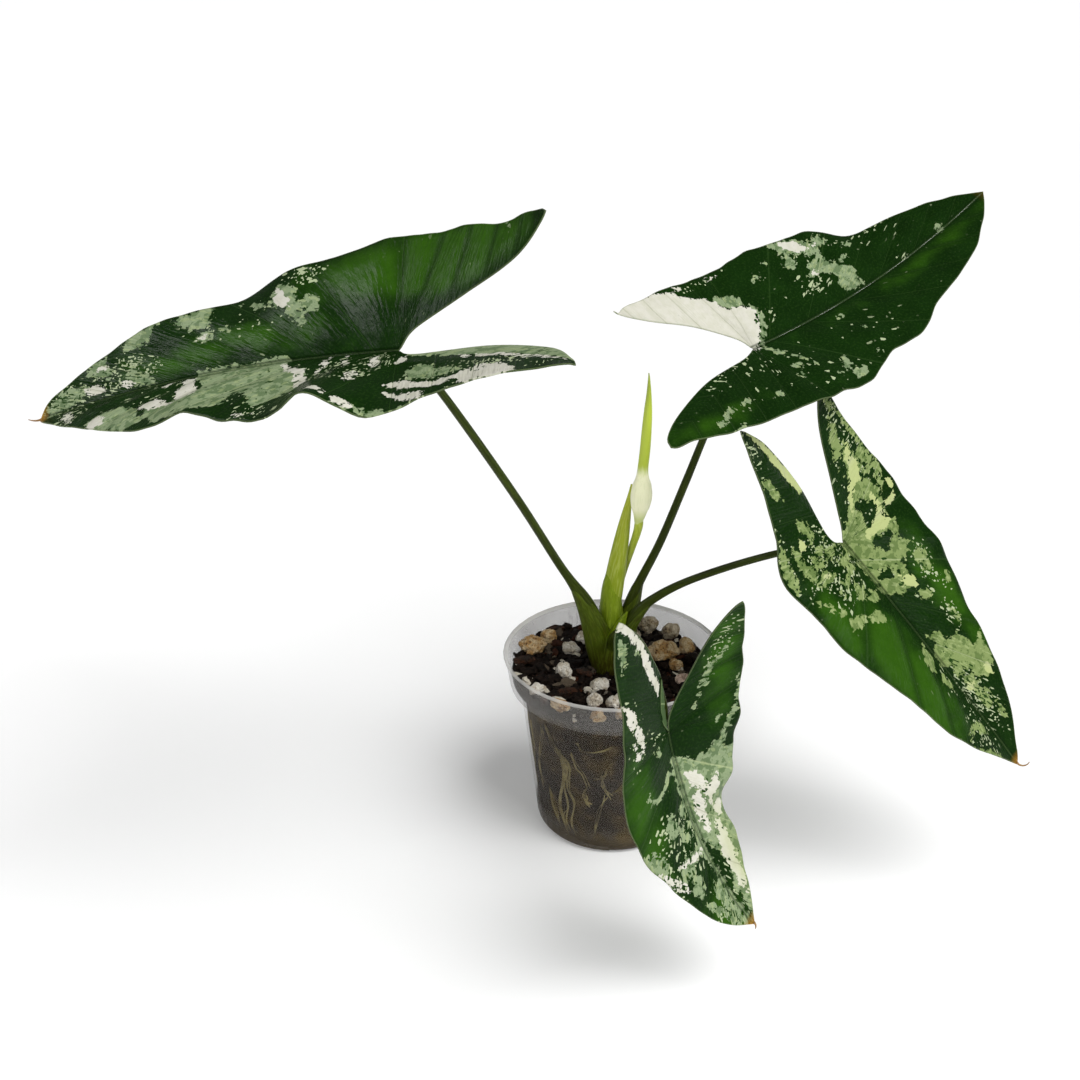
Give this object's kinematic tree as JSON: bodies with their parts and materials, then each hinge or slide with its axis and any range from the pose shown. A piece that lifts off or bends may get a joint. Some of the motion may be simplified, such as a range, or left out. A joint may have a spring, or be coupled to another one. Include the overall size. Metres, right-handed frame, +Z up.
{
  "type": "potted alocasia",
  "caption": "Young alocasia with arrow-shaped variegated leaves and a closed flower hood, growing in bark mix in a clear round nursery pot that stands on its own foot.",
  "frame": {"origin": "centre of the pot's foot, on the plane that it rests on", "axes": "+Z up, -Y towards the front of the picture, and the longest leaf reaches out to -X"},
  "size_m": [0.4226, 0.2239, 0.3103],
  "materials": {
    "clear_plastic": "clear, slightly clouded and scuffed",
    "soil": "damp bark and peat",
    "root": "matt",
    "stem": "satin plant tissue",
    "stalk": "satin plant tissue",
    "leaf": "waxy, dark green with cream and grey-green patches",
    "young_sheath": "satin plant tissue",
    "peduncle": "satin plant tissue",
    "spathe": "waxy, cream below and yellow-green above",
    "pumice_tan": "rough, porous",
    "pumice_grey": "rough, porous",
    "pumice_white": "rough, porous",
    "pumice_pink": "rough, porous",
    "bark": "rough"
  },
  "bodies": {
    "root": {"pot": "clear_plastic", "soil": "soil", "roots": "root", "stem": "stem", "petiole_left": "stalk", "leaf_left": "leaf", "petiole_back": "stalk", "leaf_back": "leaf", "petiole_right": "stalk", "leaf_right": "leaf", "petiole_front": "stalk", "leaf_front": "leaf", "young_sheath": "young_sheath", "peduncle": "peduncle", "spathe": "spathe", "pumice_tan_01": "pumice_tan", "pumice_tan_02": "pumice_tan", "pumice_tan_03": "pumice_tan", "pumice_tan_04": "pumice_tan", "pumice_tan_05": "pumice_tan", "pumice_grey_01": "pumice_grey", "pumice_grey_02": "pumice_grey", "pumice_grey_03": "pumice_grey", "pumice_white_01": "pumice_white", "pumice_white_02": "pumice_white", "pumice_white_03": "pumice_white", "pumice_white_04": "pumice_white", "pumice_white_05": "pumice_white", "pumice_white_06": "pumice_white", "pumice_white_07": "pumice_white", "pumice_pink_01": "pumice_pink", "bark_01": "bark", "bark_02": "bark", "bark_03": "bark", "bark_04": "bark", "bark_05": "bark", "bark_06": "bark", "bark_07": "bark", "bark_08": "bark"}
  },
  "joints": []
}
